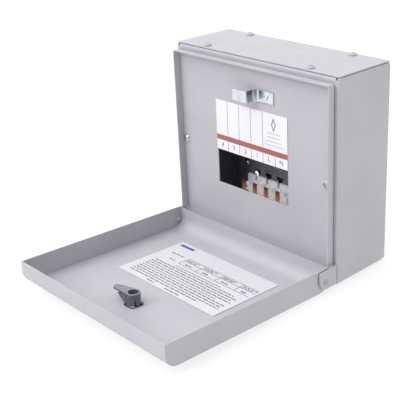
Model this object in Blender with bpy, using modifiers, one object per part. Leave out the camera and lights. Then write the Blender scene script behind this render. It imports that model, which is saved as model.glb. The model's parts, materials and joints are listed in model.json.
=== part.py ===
"""Subpanel enclosure: a wall-mounted four-way distribution box with a hinged door.

Run it with:  blender --background --python part.py
Units are metres.  +Z is up, the wall is the plane Y = 0 and the front faces -Y.
The origin is the middle of the back face, where the box meets its wall.
The door is drawn in its open position, a few degrees short of lying flat.
"""

import math

import bmesh
import bpy
from mathutils import Matrix, Vector

# ---- Driving dimensions: the steel box -------------------------------------------------
WIDTH = 0.2400
HEIGHT = 0.2265
DEPTH = 0.0825
SHEET = 0.0015
BOX_RADIUS = 0.0028
GAP = 0.0003
SHELL_TOP = HEIGHT / 2 - SHEET - GAP

# ---- Gland plates, which lie on the flanged top and bottom of the box --------------------
PLATE_MARGIN = 0.0011
BOTTOM_PLATE_MARGIN = 0.0028
OPENING_HALF = 0.1035
OPENING_FRONT = 0.0140
OPENING_REAR = 0.0685
PLATE_SCREW_X = 0.0760
PLATE_SCREW_FRONT = 0.0080
PLATE_SCREW_REAR = 0.0745

# ---- Front cover: a tray with three forward lips and two hinge ears ---------------------
COVER_SHEET = 0.0012
FOLD_RADIUS = 0.0022
COVER_HALF = 0.1152
COVER_TOP = 0.2190
LIP_BOTTOM = 0.0250
LIP_FRONT = -0.0101
COVER_BACK = -GAP
COVER_FACE = COVER_BACK - COVER_SHEET
CENTRE_X = -0.0013
WAY_PITCH = 0.0180
WAYS = 6
APERTURE_LOW = 0.0722
APERTURE_HIGH = 0.1131
COVER_SCREW_SPACING = 0.1070
COVER_SCREW_LEVEL = 0.1125
LABEL_TOP = 0.1716

# ---- Hinge and door --------------------------------------------------------------------
HINGE_FORWARD = 0.0174
HINGE_LEVEL = 0.0108
DOOR_SHEET = 0.0012
DOOR_HALF = 0.1178
DOOR_LENGTH = 0.2136
DOOR_RETURN = 0.0262
DOOR_HEEL = 0.0068
DOOR_END_RADIUS = 0.0150
DOOR_SIDE_RADIUS = 0.0022
DOOR_TILT = math.radians(-2.4)
EAR_OUTER = 0.1199
EAR_SHEET = 0.0012
EAR_REACH = 0.0276
EAR_LOW = 0.0035
EAR_HIGH = 0.0246
PIN_RADIUS = 0.0020
HOLE_RADIUS = PIN_RADIUS + GAP

# ---- Quarter-turn latch and its keeper ---------------------------------------------------
LATCH_X = 0.0020
LATCH_REACH = 0.1591
LATCH_TURN = math.radians(8.0)
LATCH_HEIGHT = 0.0150
BARREL_RADIUS = 0.0075
BORE_RADIUS = 0.0056
TONGUE_LENGTH = 0.0264
TONGUE_TIP = 0.0042
TONGUE_ROOT = 0.0073
TONGUE_THICK = 0.0020
WEB_REACH = 0.0205
WEB_FOOT = 0.0036
KEEPER_SLOT = 0.0021
KEEPER_SLOT_RADIUS = 0.0113
KEEPER_LOW = 0.1818
KEEPER_HIGH = 0.1946
KEEPER_SHEET = 0.0012
KEEPER_STANDOFF = 0.0148
KEEPER_LEFT = -0.0130
KEEPER_LEG = 0.0080
KEEPER_RIGHT = 0.0339
KEEPER_RIVET_X = 0.0245

# ---- Inside: chassis pan, busbar and terminal bars ---------------------------------------
PAN_DEPTH = 0.0425
PAN_HALF = 0.0660
PAN_LOW = 0.0440
PAN_HIGH = 0.1220
PAN_FOOT = 0.0120
PAN_SCREW_X = 0.0560
CLIP_SLOT_LEVEL = 0.0754
PAD_TOP = 0.0715
PAD_NOTCH = 0.0085
PRONG_DEPTH = 0.0295
PRONG_TOP = 0.0674
PRONG_WIDTH = 0.0056
SHROUD_HALF = 0.0050
SHROUD_TOP = 0.0664
BAR_LENGTH = 0.0900
BAR_PITCH = 0.0180
NEUTRAL_LEVEL = 0.1560
EARTH_LEVEL = 0.0180
WALL_HOLE_X = 0.0780
WALL_HOLE_LEVEL = 0.0510

COLLECTION_NAME = "subpanel_enclosure"


# ---- Frame helpers -----------------------------------------------------------------------
def level(height):
    """World Z of a height above the bottom of the box."""
    return height - HEIGHT / 2


def depth(distance):
    """World Y of a distance behind the front plane of the box."""
    return distance - DEPTH


def clear_scene():
    """Remove what the startup file holds."""
    for item in list(bpy.data.objects):
        bpy.data.objects.remove(item)


def make_collection(name):
    """Add an empty collection to the scene."""
    collection = bpy.data.collections.new(name)
    bpy.context.scene.collection.children.link(collection)
    return collection


def paint(name, colour, roughness, metallic):
    """A plain Principled material."""
    material = bpy.data.materials.new(name)
    material.use_nodes = True
    shader = material.node_tree.nodes["Principled BSDF"]
    shader.inputs["Base Color"].default_value = (*colour, 1.0)
    shader.inputs["Roughness"].default_value = roughness
    shader.inputs["Metallic"].default_value = metallic
    return material


def place(name, mesh, collection):
    """Put a mesh in the scene under a name."""
    item = bpy.data.objects.new(name, mesh)
    collection.objects.link(item)
    return item


# ---- Solid builders ------------------------------------------------------------------------
def block(name, x, y, z):
    """A box between pairs of X, Y and Z limits."""
    bm = bmesh.new()
    bmesh.ops.create_cube(bm, size=1.0)
    size = Vector((x[1] - x[0], y[1] - y[0], z[1] - z[0]))
    bmesh.ops.scale(bm, vec=size, verts=bm.verts)
    mesh = bpy.data.meshes.new(name)
    bm.to_mesh(mesh)
    bm.free()
    item = place(name, mesh, workshop)
    item.location = ((x[0] + x[1]) / 2, (y[0] + y[1]) / 2, (z[0] + z[1]) / 2)
    return item


def rod(name, radius, start, end, segments=24):
    """A cylinder between two points on a line along one axis."""
    start = Vector(start)
    end = Vector(end)
    span = end - start
    bm = bmesh.new()
    bmesh.ops.create_cone(bm, cap_ends=True, segments=segments, radius1=radius,
                          radius2=radius, depth=span.length)
    mesh = bpy.data.meshes.new(name)
    bm.to_mesh(mesh)
    bm.free()
    item = place(name, mesh, workshop)
    turn = span.to_track_quat("Z", "Y").to_matrix().to_4x4()
    item.matrix_world = Matrix.Translation((start + end) / 2) @ turn
    return item


def arc(centre, radius, start, stop, steps):
    """Points on an arc, angles in degrees."""
    points = []
    for step in range(steps + 1):
        angle = math.radians(start + (stop - start) * step / steps)
        points.append((centre[0] + radius * math.cos(angle),
                       centre[1] + radius * math.sin(angle)))
    return points


def extruded(name, outline, limits, across):
    """A flat outline extruded between two limits along the axis `across`.

    The outline is (Y, Z) for X, (X, Z) for Y and (X, Y) for Z.
    """
    curve = bpy.data.curves.new(name, "CURVE")
    curve.dimensions = "2D"
    curve.fill_mode = "BOTH"
    curve.extrude = (limits[1] - limits[0]) / 2
    spline = curve.splines.new("POLY")
    spline.points.add(len(outline) - 1)
    for point, (u, v) in zip(spline.points, outline):
        point.co = (u, v, 0.0, 1.0)
    spline.use_cyclic_u = True
    drawing = place(name + "_outline", curve, workshop)
    middle = (limits[0] + limits[1]) / 2
    frames = {
        "X": Matrix(((0, 0, 1, middle), (1, 0, 0, 0), (0, 1, 0, 0), (0, 0, 0, 1))),
        "Y": Matrix(((1, 0, 0, 0), (0, 0, -1, middle), (0, 1, 0, 0), (0, 0, 0, 1))),
        "Z": Matrix.Translation((0, 0, middle)),
    }
    drawing.matrix_world = frames[across]
    return bake(drawing, name)


def turned(name, profile, steps=20):
    """A turned solid about Z; the profile runs from the top of the axis down to its foot."""
    mesh = bpy.data.meshes.new(name)
    points = [(radius, 0.0, height) for radius, height in profile]
    edges = [(i, i + 1) for i in range(len(points) - 1)]
    mesh.from_pydata(points, edges, [])
    item = place(name, mesh, workshop)
    screw = item.modifiers.new("Turn", "SCREW")
    screw.steps = steps
    screw.render_steps = steps
    screw.use_merge_vertices = True
    screw.merge_threshold = 0.00005
    return bake(item, name)


def bake(item, name):
    """Swap an object for a welded mesh of what it evaluates to, in world space."""
    bpy.context.view_layer.update()
    evaluated = item.evaluated_get(bpy.context.evaluated_depsgraph_get())
    mesh = bpy.data.meshes.new_from_object(evaluated)
    mesh.name = name
    matrix = item.matrix_world.copy()
    tools = [modifier.object for modifier in item.modifiers if modifier.type == "BOOLEAN"]
    bpy.data.objects.remove(item)
    for tool in tools:
        bpy.data.objects.remove(tool)
    bm = bmesh.new()
    bm.from_mesh(mesh)
    bmesh.ops.transform(bm, matrix=matrix, verts=bm.verts)
    bmesh.ops.remove_doubles(bm, verts=bm.verts, dist=0.000002)
    bm.to_mesh(mesh)
    bm.free()
    mesh.materials.clear()
    return place(name, mesh, workshop)


def combine(item, tool, operation):
    """Add a Boolean between two objects and hide the tool."""
    tool.hide_render = True
    tool.display_type = "WIRE"
    modifier = item.modifiers.new("Boolean", "BOOLEAN")
    modifier.operation = operation
    modifier.solver = "EXACT"
    modifier.object = tool
    return item


def cut(item, *tools):
    """Take the tools away from the item."""
    for tool in tools:
        combine(item, tool, "DIFFERENCE")
    return item


def join(item, *tools):
    """Add the tools to the item."""
    for tool in tools:
        combine(item, tool, "UNION")
    return item


def rounded(item, width, segments=2, angle=40.0):
    """Round the edges sharper than an angle."""
    bevel = item.modifiers.new("Bevel", "BEVEL")
    bevel.width = width
    bevel.segments = segments
    bevel.limit_method = "ANGLE"
    bevel.angle_limit = math.radians(angle)
    return item


def finish(item, name, material, smooth=True):
    """Bake an object, name it, give it its material and file it with the parts."""
    item = bake(item, name)
    item.data.materials.append(material)
    if smooth:
        item.data.shade_smooth()
        item.data.set_sharp_from_angle(angle=math.radians(30))
    workshop.objects.unlink(item)
    parts.objects.link(item)
    return item


def repeat(pattern, name, matrix):
    """A named copy of a finished piece that shares its mesh."""
    item = bpy.data.objects.new(name, pattern.data)
    item.matrix_world = matrix
    parts.objects.link(item)
    return item


# ---- Steel box -----------------------------------------------------------------------------
def plate_screw_places():
    """X and Y of the four screws of a gland plate."""
    return [(x, depth(y)) for x in (-PLATE_SCREW_X, PLATE_SCREW_X)
            for y in (PLATE_SCREW_FRONT, PLATE_SCREW_REAR)]


def cover_screw_places():
    """X of the two screws of the front cover."""
    return [CENTRE_X - COVER_SCREW_SPACING, CENTRE_X + COVER_SCREW_SPACING]


def pan_screw_places():
    """X and Z of the four screws that hold the chassis pan."""
    levels = (PAN_LOW - PAN_FOOT / 2, PAN_HIGH + PAN_FOOT / 2)
    return [(x, level(z)) for x in (-PAN_SCREW_X, PAN_SCREW_X) for z in levels]


def bar_foot_places():
    """X of the two supports under a terminal bar."""
    return [-BAR_LENGTH / 2 + 0.006, BAR_LENGTH / 2 - 0.006]


def make_shell():
    """The folded box with its mouth and its two gland openings."""
    half_x = WIDTH / 2
    shell = block("body", (-half_x, half_x), (-DEPTH, 0), (-SHELL_TOP, SHELL_TOP))
    rounded(shell, BOX_RADIUS, 3)
    inner_z = SHELL_TOP - SHEET
    inside = block("inside", (SHEET - half_x, half_x - SHEET), (depth(SHEET), -SHEET),
                   (-inner_z, inner_z))
    mouth = block("mouth", (-0.1000, 0.1000), (depth(-0.01), depth(0.01)),
                  (level(0.0240), level(0.2040)))
    opening = block("opening", (-OPENING_HALF, OPENING_HALF),
                    (depth(OPENING_FRONT), depth(OPENING_REAR)), (-HEIGHT, HEIGHT))
    cut(shell, inside, mouth, opening)
    for x in (half_x - 0.0038, 0.0038 - half_x):
        for z in (-SHELL_TOP, SHELL_TOP):
            cut(shell, block("relief", (x - 0.0011, x + 0.0011), (depth(-0.01), depth(0.0030)),
                             (z - 0.0024, z + 0.0024)))
    return bake(shell, "body")


def make_body(material):
    """Folded steel box: back, sides, front flange, gland flanges and all its holes."""
    shell = make_shell()
    for x, y in plate_screw_places():
        cut(shell, rod("drill", HOLE_RADIUS, (x, y, -HEIGHT), (x, y, HEIGHT), 16))
    for x in cover_screw_places():
        z = level(COVER_SCREW_LEVEL)
        cut(shell, rod("drill", HOLE_RADIUS, (x, depth(-0.01), z), (x, depth(0.01), z), 16))
    for x in (-WALL_HOLE_X, WALL_HOLE_X):
        for z in (level(WALL_HOLE_LEVEL), -level(WALL_HOLE_LEVEL)):
            cut(shell, rod("drill", 0.0034, (x, -0.01, z), (x, 0.01, z), 20))
    for x, z in pan_screw_places():
        cut(shell, rod("drill", HOLE_RADIUS, (x, -0.01, z), (x, 0.01, z), 12))
    return finish(shell, "enclosure_body", material)


def make_gland_plates(material):
    """Flat plates screwed over the openings in the top and the bottom of the box."""
    for name, low, margin in (("top_gland_plate", HEIGHT / 2 - SHEET, PLATE_MARGIN),
                              ("bottom_gland_plate", -HEIGHT / 2, BOTTOM_PLATE_MARGIN)):
        half_x = WIDTH / 2 - margin
        plate = block(name, (-half_x, half_x), (margin - DEPTH, -margin), (low, low + SHEET))
        rounded(plate, 0.0004, 1)
        for sx, sy in plate_screw_places():
            cut(plate, rod("drill", HOLE_RADIUS, (sx, sy, low - 0.01), (sx, sy, low + 0.01), 16))
        finish(plate, name, material)


# ---- Fasteners --------------------------------------------------------------------------------
def screw_pattern(name, head, head_height, shank, length, material, cross=True):
    """A dome-headed screw along -Z with its head resting on Z = 0."""
    profile = [(0.0, head_height), (head * 0.55, head_height * 0.93),
               (head * 0.85, head_height * 0.62), (head, head_height * 0.12), (head, 0.0),
               (shank, 0.0), (shank, shank * 0.3 - length), (shank * 0.7, -length),
               (0.0, -length)]
    screw = turned(name, profile, 16)
    slots = [((-head * 0.6, head * 0.6), (-head * 0.1, head * 0.1))]
    if cross:
        slots.append(((-head * 0.1, head * 0.1), (-head * 0.6, head * 0.6)))
    for x, y in slots:
        cut(screw, block("slot", x, y, (head_height * 0.4, head_height * 2)))
    return finish(screw, name, material)


def facing(direction, location):
    """Matrix that turns +Z to a direction and moves to a location."""
    turn = Vector(direction).to_track_quat("Z", "Y").to_matrix().to_4x4()
    return Matrix.Translation(location) @ turn


def scatter(pattern, spots):
    """Put a pattern at its first spot and copies of it at the others."""
    first = spots[0]
    pattern.name = first[0]
    pattern.matrix_world = facing(first[1], first[2])
    for name, direction, location in spots[1:]:
        repeat(pattern, name, facing(direction, location))


def make_plate_screws(material):
    """Eight dome-headed screws that hold the gland plates."""
    pattern = screw_pattern("plate_screw", 0.0048, 0.0023, PIN_RADIUS, 0.0070, material)
    spots = []
    for side, sign in (("top", 1), ("bottom", -1)):
        for number, (x, y) in enumerate(plate_screw_places(), 1):
            location = (x, y, sign * (HEIGHT / 2 + GAP))
            spots.append((f"{side}_plate_screw_{number}", (0, 0, sign), location))
    scatter(pattern, spots)


def make_cover_screws(material):
    """Two screws at mid height that hold the front cover."""
    pattern = screw_pattern("cover_screw", 0.0048, 0.0026, PIN_RADIUS, 0.0120, material)
    spots = []
    for side, x in zip(("left", "right"), cover_screw_places()):
        location = (x, depth(COVER_FACE - GAP), level(COVER_SCREW_LEVEL))
        spots.append((f"cover_screw_{side}", (0, -1, 0), location))
    scatter(pattern, spots)


def make_cover_nuts(material):
    """Two captive nuts behind the front flange that take the cover screws."""
    for side, x in zip(("left", "right"), cover_screw_places()):
        z = level(COVER_SCREW_LEVEL)
        near = depth(SHEET + GAP)
        nut = block("nut", (x - 0.0055, x + 0.0055), (near, near + 0.0032), (z - 0.0060, z + 0.0060))
        rounded(nut, 0.0006, 1)
        cut(nut, rod("thread", HOLE_RADIUS, (x, near - 0.01, z), (x, near + 0.01, z), 16))
        finish(nut, f"cover_nut_{side}", material)


# ---- Front cover -----------------------------------------------------------------------------
def ear_outline():
    """Side view of a hinge ear as (Y, Z)."""
    front = depth(-EAR_REACH)
    back = depth(COVER_BACK)
    big = 0.0120
    small = 0.0016
    outline = [(back, level(EAR_LOW))]
    outline += arc((front + big, level(EAR_LOW) + big), big, 270, 180, 6)
    outline += arc((front + small, level(EAR_HIGH) - small), small, 180, 90, 2)
    outline.append((back, level(EAR_HIGH)))
    return outline


def make_tray():
    """The cover plate with its aperture and its three forward lips."""
    beyond = 0.0200
    tray = block("cover", (-COVER_HALF, COVER_HALF), (depth(LIP_FRONT - beyond), depth(COVER_BACK)),
                 (level(LIP_BOTTOM - beyond), level(COVER_TOP)))
    rounded(tray, FOLD_RADIUS, 4)
    half = COVER_HALF - COVER_SHEET
    hollow = block("hollow", (-half, half), (depth(LIP_FRONT - 0.03), depth(COVER_FACE)),
                   (level(LIP_BOTTOM - 0.04), level(COVER_TOP - COVER_SHEET)))
    front = block("front", (-WIDTH, WIDTH), (depth(LIP_FRONT - 0.03), depth(LIP_FRONT)),
                  (-HEIGHT, HEIGHT))
    foot = block("foot", (-WIDTH, WIDTH), (depth(-0.05), depth(0.01)),
                 (level(-0.03), level(LIP_BOTTOM)))
    half_ways = WAYS * WAY_PITCH / 2
    aperture = block("aperture", (CENTRE_X - half_ways, CENTRE_X + half_ways),
                     (depth(-0.02), depth(0.02)), (level(APERTURE_LOW), level(APERTURE_HIGH)))
    cut(tray, hollow, front, foot, aperture)
    drills = [(x, COVER_SCREW_LEVEL, HOLE_RADIUS) for x in cover_screw_places()]
    drills.append((KEEPER_RIVET_X, (KEEPER_LOW + KEEPER_HIGH) / 2, 0.0018))
    for x, height, radius in drills:
        cut(tray, rod("drill", radius, (x, depth(-0.02), level(height)),
                      (x, depth(0.02), level(height)), 16))
    return bake(tray, "cover")


def make_ears():
    """The foot of the cover plate with the two ears folded forward from its ends."""
    channel = block("ears", (-EAR_OUTER, EAR_OUTER), (depth(-0.06), depth(COVER_BACK)),
                    (level(-0.03), level(0.06)))
    rounded(channel, FOLD_RADIUS, 4)
    half = EAR_OUTER - EAR_SHEET
    cut(channel, block("between", (-half, half), (depth(-0.07), depth(COVER_FACE)),
                       (level(-0.04), level(0.07))))
    channel = bake(channel, "ears")
    side = extruded("side", ear_outline(), (-WIDTH, WIDTH), "X")
    combine(channel, side, "INTERSECT")
    pivot = hinge_axis()
    cut(channel, rod("pin_hole", HOLE_RADIUS, (-0.2, *pivot), (0.2, *pivot), 16))
    return bake(channel, "ears")


def make_cover(material):
    """Front cover: plate, three forward lips, aperture and the two hinge ears."""
    tray = make_tray()
    neck = COVER_HALF - FOLD_RADIUS - 0.0002
    join(tray, block("neck", (-neck, neck), (depth(COVER_FACE), depth(COVER_BACK)),
                     (level(EAR_HIGH - 0.001), level(0.0300))))
    tray = bake(tray, "cover")
    join(tray, make_ears())
    return finish(tray, "front_cover", material)


def make_circuit_label(material):
    """Thin label above the aperture that names the ways."""
    half_ways = WAYS * WAY_PITCH / 2
    face = COVER_FACE - GAP
    label = block("label", (CENTRE_X - half_ways, CENTRE_X + half_ways),
                  (depth(face - 0.0003), depth(face)),
                  (level(APERTURE_HIGH + 0.0002), level(LABEL_TOP)))
    return finish(label, "circuit_label", material)


def strip_outline(path, thickness):
    """Outline of a bent strip from its centre line, a list of points."""
    left = []
    right = []
    for index, point in enumerate(path):
        before = Vector(path[max(index - 1, 0)])
        after = Vector(path[min(index + 1, len(path) - 1)])
        along = (after - before).normalized()
        side = Vector((-along.y, along.x)) * thickness / 2
        left.append(tuple(Vector(point) + side))
        right.append(tuple(Vector(point) - side))
    return left + right[::-1]


def keeper_face(limits):
    """Front view of the keeper as (X, Z), with its free end rounded."""
    low, high = limits
    corner = 0.0022
    outline = arc((KEEPER_LEFT + corner, low + corner), corner, 270, 180, 4)
    outline += arc((KEEPER_LEFT + corner, high - corner), corner, 180, 90, 4)
    return outline + [(KEEPER_RIGHT, high), (KEEPER_RIGHT, low)]


def make_keeper(material):
    """Bright pressed strip on the cover; its raised end holds the latch tongue."""
    base = depth(COVER_FACE - GAP - KEEPER_SHEET / 2)
    raised = depth(COVER_FACE - KEEPER_STANDOFF)
    leg = KEEPER_LEG
    wide = 0.0065
    tight = 0.0022
    path = [(KEEPER_RIGHT, base)]
    path += arc((leg + wide, base - wide), wide, 90, 180, 9)
    path += arc((leg - tight, raised + tight), tight, 0, -90, 6)
    path.append((KEEPER_LEFT, raised))
    limits = (level(KEEPER_LOW), level(KEEPER_HIGH))
    keeper = extruded("keeper", strip_outline(path, KEEPER_SHEET), limits, "Z")
    face = extruded("face", keeper_face(limits), (depth(-0.03), depth(0.01)), "Y")
    keeper = bake(combine(keeper, face, "INTERSECT"), "keeper")
    z = sum(limits) / 2
    cut(keeper, rod("drill", 0.0018, (KEEPER_RIVET_X, base - 0.004, z),
                    (KEEPER_RIVET_X, base + 0.004, z), 12))
    return finish(keeper, "latch_keeper", material)


def make_keeper_rivet(material):
    """Rivet that holds the keeper to the cover."""
    head = 0.0026
    stem = 0.0015
    grip = KEEPER_SHEET + COVER_SHEET + 2 * GAP
    profile = [(0.0, 0.0010), (head * 0.7, 0.0008), (head, 0.0), (stem, 0.0), (stem, -grip - GAP),
               (0.0, -grip - GAP)]
    rivet = turned("keeper_rivet", profile, 16)
    place_at = (KEEPER_RIVET_X, depth(COVER_FACE - 2 * GAP - KEEPER_SHEET),
                level((KEEPER_LOW + KEEPER_HIGH) / 2))
    rivet.matrix_world = facing((0, -1, 0), place_at)
    return finish(rivet, "keeper_rivet", material)


# ---- Hinge ----------------------------------------------------------------------------------
def hinge_axis():
    """Y and Z of the hinge axis."""
    return depth(-HINGE_FORWARD), level(HINGE_LEVEL)


def make_hinge_rivets(material):
    """Two rivets through the ears and the door returns: the hinge pins."""
    head = 0.0035
    tail = 0.0032
    grip = EAR_OUTER - (DOOR_HALF - DOOR_SHEET) + 2 * GAP
    profile = [(0.0, -0.0010), (0.0009, -0.0010), (0.0010, 0.0010), (head * 0.75, 0.0009),
               (head, 0.0001), (head, 0.0), (PIN_RADIUS, 0.0), (PIN_RADIUS, -grip),
               (tail, -grip), (tail, -grip - 0.0010), (tail * 0.7, -grip - 0.0020),
               (0.0, -grip - 0.0022)]
    pattern = finish(turned("rivet", profile), "rivet", material)
    spots = []
    for side, sign in (("left", -1), ("right", 1)):
        location = (sign * (EAR_OUTER + GAP), *hinge_axis())
        spots.append((f"hinge_rivet_{side}", (sign, 0, 0), location))
    scatter(pattern, spots)


# ---- Door, drawn lying flat about the hinge axis, then tilted by its empty -----------------------
def hang(item, carrier):
    """Make a piece a child of the empty that carries it."""
    item.parent = carrier
    return item


def make_axis(name, location, turn, carrier=None):
    """An empty on a joint's axis."""
    axis = bpy.data.objects.new(name, None)
    parts.objects.link(axis)
    axis.parent = carrier
    axis.location = location
    axis.rotation_euler = turn
    return axis


def tray_outline(inset, open_top):
    """Side view of the door tray as (Y, Z) about the hinge axis."""
    low = -HINGE_LEVEL
    radius = DOOR_END_RADIUS
    corner = low + radius
    bend = radius - inset
    outline = arc((radius - DOOR_LENGTH, corner), bend, 180, 270, 6)
    outline += arc((DOOR_HEEL - radius, corner), bend, 270, 360, 6)
    outline += [(DOOR_HEEL - inset, open_top), (inset - DOOR_LENGTH, open_top)]
    return outline


def tray_trim():
    """Region above the door tray's rim, rounded about the hinge to swing clear of the cover."""
    swing = DOOR_RETURN - HINGE_LEVEL
    stop = math.degrees(math.asin(math.sqrt(1 - (DOOR_HEEL / swing) ** 2)))
    outline = [(-DOOR_LENGTH - 0.01, swing)]
    outline += arc((0.0, 0.0), swing, 90, stop, 5)
    outline += [(DOOR_HEEL + 0.01, outline[-1][1]), (DOOR_HEEL + 0.01, 0.08),
                (-DOOR_LENGTH - 0.01, 0.08)]
    return outline


def make_door(material, hinge):
    """Door panel: a shallow tray with wide end bends and four returns."""
    tray = extruded("door", tray_outline(0.0, 0.05), (-DOOR_HALF, DOOR_HALF), "X")
    rounded(tray, DOOR_SIDE_RADIUS, 3)
    inner = DOOR_HALF - DOOR_SHEET
    hollow = extruded("hollow", tray_outline(DOOR_SHEET, 0.06), (-inner, inner), "X")
    trim = extruded("trim", tray_trim(), (-0.13, 0.13), "X")
    tray = bake(cut(tray, hollow, trim), "door")
    cut(tray, rod("pin_hole", HOLE_RADIUS, (-0.2, 0, 0), (0.2, 0, 0), 16))
    cut(tray, rod("latch_hole", BARREL_RADIUS + 0.0014, (LATCH_X, -LATCH_REACH, -0.02),
                  (LATCH_X, -LATCH_REACH, 0), 32))
    return hang(finish(tray, "door_panel", material), hinge)


def make_door_label(material, hinge):
    """Large printed label on the inside of the door."""
    floor = DOOR_SHEET - HINGE_LEVEL + GAP
    label = block("label", (-0.0765, 0.0765), (-0.1197, -0.0261), (floor, floor + 0.0003))
    return hang(finish(label, "door_label", material), hinge)


def make_latch_housing(material, hinge):
    """Fixed bezel and split sleeve that snap into the door and carry the latch."""
    face = -HINGE_LEVEL
    inside = face + DOOR_SHEET + GAP
    bore = BARREL_RADIUS + GAP
    sleeve = bore + 0.0008
    bead = sleeve + 0.0016
    ledge = face - GAP
    profile = [(bore, inside + 0.0018), (sleeve, inside + 0.0018), (bead, inside + 0.0006),
               (bead, inside), (sleeve, inside), (sleeve, ledge), (0.0125, ledge),
               (0.0125, ledge - 0.0009), (0.0119, ledge - 0.0015), (0.0068, ledge - 0.0015),
               (0.0068, ledge), (bore, ledge), (bore, inside + 0.0018)]
    housing = turned("housing", profile, 24)
    wide = 0.0045
    for x, y in ((wide, 0.02), (0.02, wide)):
        cut(housing, block("split", (-x, x), (-y, y), (inside - 0.0002, inside + 0.01)))
    housing = finish(housing, "latch_housing", material)
    housing.location = (LATCH_X, -LATCH_REACH, 0)
    return hang(housing, hinge)


def tongue_outline():
    """Plan of the tongue: a tapered finger from the barrel to a round tip at -X."""
    reach = TONGUE_LENGTH - TONGUE_TIP
    spread = math.degrees(math.asin((TONGUE_ROOT - TONGUE_TIP) / reach))
    outline = arc((-reach, 0), TONGUE_TIP, 90 + spread, 270 - spread, 8)
    outline += arc((0, 0), TONGUE_ROOT, 270 - spread, 450 + spread, 12)
    return outline


def make_web(face, top):
    """Web under the tongue, slotted so that the keeper passes between it and the tongue."""
    side = [(-0.0040, face + WEB_FOOT), (-0.0040, top - 0.0004), (-WEB_REACH, top - 0.0004),
            (-WEB_REACH, top - TONGUE_THICK - 0.0004), (0.0010 - BARREL_RADIUS, face + WEB_FOOT)]
    web = extruded("web", side, (-0.0100, 0.0100), "Y")
    plan = extruded("plan", tongue_outline(), (face, top + 0.01), "Z")
    web = bake(combine(web, plan, "INTERSECT"), "web")
    under = top - TONGUE_THICK
    slot = block("slot", (-0.03, 0.0), (-0.0120, 0.0120), (under - KEEPER_SLOT, under))
    cut(slot, rod("post", KEEPER_SLOT_RADIUS, (0, 0, face), (0, 0, top + 0.01), 32))
    return bake(cut(web, bake(slot, "slot")), "web")


def make_latch_cam(material, latch):
    """Turning barrel with the tongue that goes behind the keeper."""
    face = -HINGE_LEVEL
    top = face + LATCH_HEIGHT
    barrel = rod("barrel", BARREL_RADIUS, (0, 0, face), (0, 0, top), 32)
    join(barrel, make_web(face, top))
    barrel = bake(barrel, "barrel")
    join(barrel, extruded("tongue", tongue_outline(), (top - TONGUE_THICK, top - 0.0001), "Z"))
    barrel = bake(barrel, "barrel")
    cut(barrel, rod("bore", BORE_RADIUS, (0, 0, face - 0.01), (0, 0, top + 0.01), 32))
    slit = bake(block("slit", (0.0045, 0.0090), (-0.0008, 0.0008),
                      (face - 0.0010, face + 0.0092)), "slit")
    slit.matrix_world = Matrix.Rotation(math.radians(-32), 4, "Z")
    cut(barrel, slit)
    return hang(finish(barrel, "latch_cam", material), latch)


def make_latch_core(material, latch):
    """Slotted core, turned from outside, that drives the cam."""
    face = -HINGE_LEVEL
    stem = BORE_RADIUS - GAP
    head = 0.0065
    low = face - 0.0021
    top = face + 0.0100
    profile = [(0.0, top), (stem - 0.0004, top), (stem, top - 0.0004), (stem, face - GAP),
               (head, face - GAP), (head, low + 0.0003), (head - 0.0003, low), (0.0, low)]
    core = turned("core", profile, 28)
    cut(core, block("slot", (-0.0055, 0.0055), (-0.0008, 0.0008), (low - 0.01, low + 0.0016)))
    cut(core, block("step", (-0.0009, 0.02), (-0.02, 0.0010), (top - 0.0045, top + 0.01)))
    return hang(finish(core, "latch_core", material), latch)


# ---- Inside --------------------------------------------------------------------------------------
def way_boundaries():
    """X of the lines between neighbouring ways."""
    first = CENTRE_X - WAYS * WAY_PITCH / 2
    return [first + WAY_PITCH * number for number in range(1, WAYS)]


def make_pan(material):
    """Chassis pan: a folded channel that carries the devices at the right depth."""
    face = depth(PAN_DEPTH)
    back = -SHEET - GAP
    low = level(PAN_LOW)
    high = level(PAN_HIGH)
    t = SHEET
    outline = [(face, low), (back - t, low), (back - t, low - PAN_FOOT), (back, low - PAN_FOOT),
               (back, low + t), (face + t, low + t), (face + t, high - t), (back, high - t),
               (back, high + PAN_FOOT), (back - t, high + PAN_FOOT), (back - t, high),
               (face, high)]
    pan = extruded("pan", outline, (CENTRE_X - PAN_HALF, CENTRE_X + PAN_HALF), "X")
    rounded(pan, 0.0005, 1, 80)
    pan = bake(pan, "pan")
    z = level(CLIP_SLOT_LEVEL)
    for x, half in zip(way_boundaries(), (0.0032, 0.0022, 0.0022, 0.0022, 0.0022)):
        cut(pan, block("clip_slot", (x - 0.0050, x + 0.0050), (face - 0.01, face + 0.01),
                       (z - half, z + half)),
            block("clip_stem", (x - 0.0026, x + 0.0026), (face - 0.008, face + 0.008),
                  (z - 0.0110, z - half + 0.0004)))
    for x, z in pan_screw_places():
        cut(pan, rod("drill", HOLE_RADIUS, (x, back - 0.01, z), (x, back + 0.01, z), 12))
    z = level(0.0840)
    cut(pan, rod("bond_hole", HOLE_RADIUS, (-0.0540, face - 0.01, z), (-0.0540, face + 0.01, z), 12))
    return finish(pan, "chassis_pan", material)


def make_pan_screws(material):
    """Four screws that hold the pan's feet to the back of the box."""
    pattern = screw_pattern("pan_screw", 0.0034, 0.0018, PIN_RADIUS, 0.0033, material)
    spots = []
    for number, (x, z) in enumerate(pan_screw_places(), 1):
        location = (x, -2 * SHEET - 2 * GAP, z)
        spots.append((f"pan_screw_{number}", (0, -1, 0), location))
    scatter(pattern, spots)


def make_bond_screw(material):
    """Bonding screw and its washer head on the pan face."""
    screw = screw_pattern("bond", 0.0042, 0.0024, PIN_RADIUS, 0.0080, material)
    scatter(screw, [("pan_bond_screw", (0, -1, 0), (-0.0540, depth(PAN_DEPTH) - GAP, level(0.0840)))])


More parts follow.
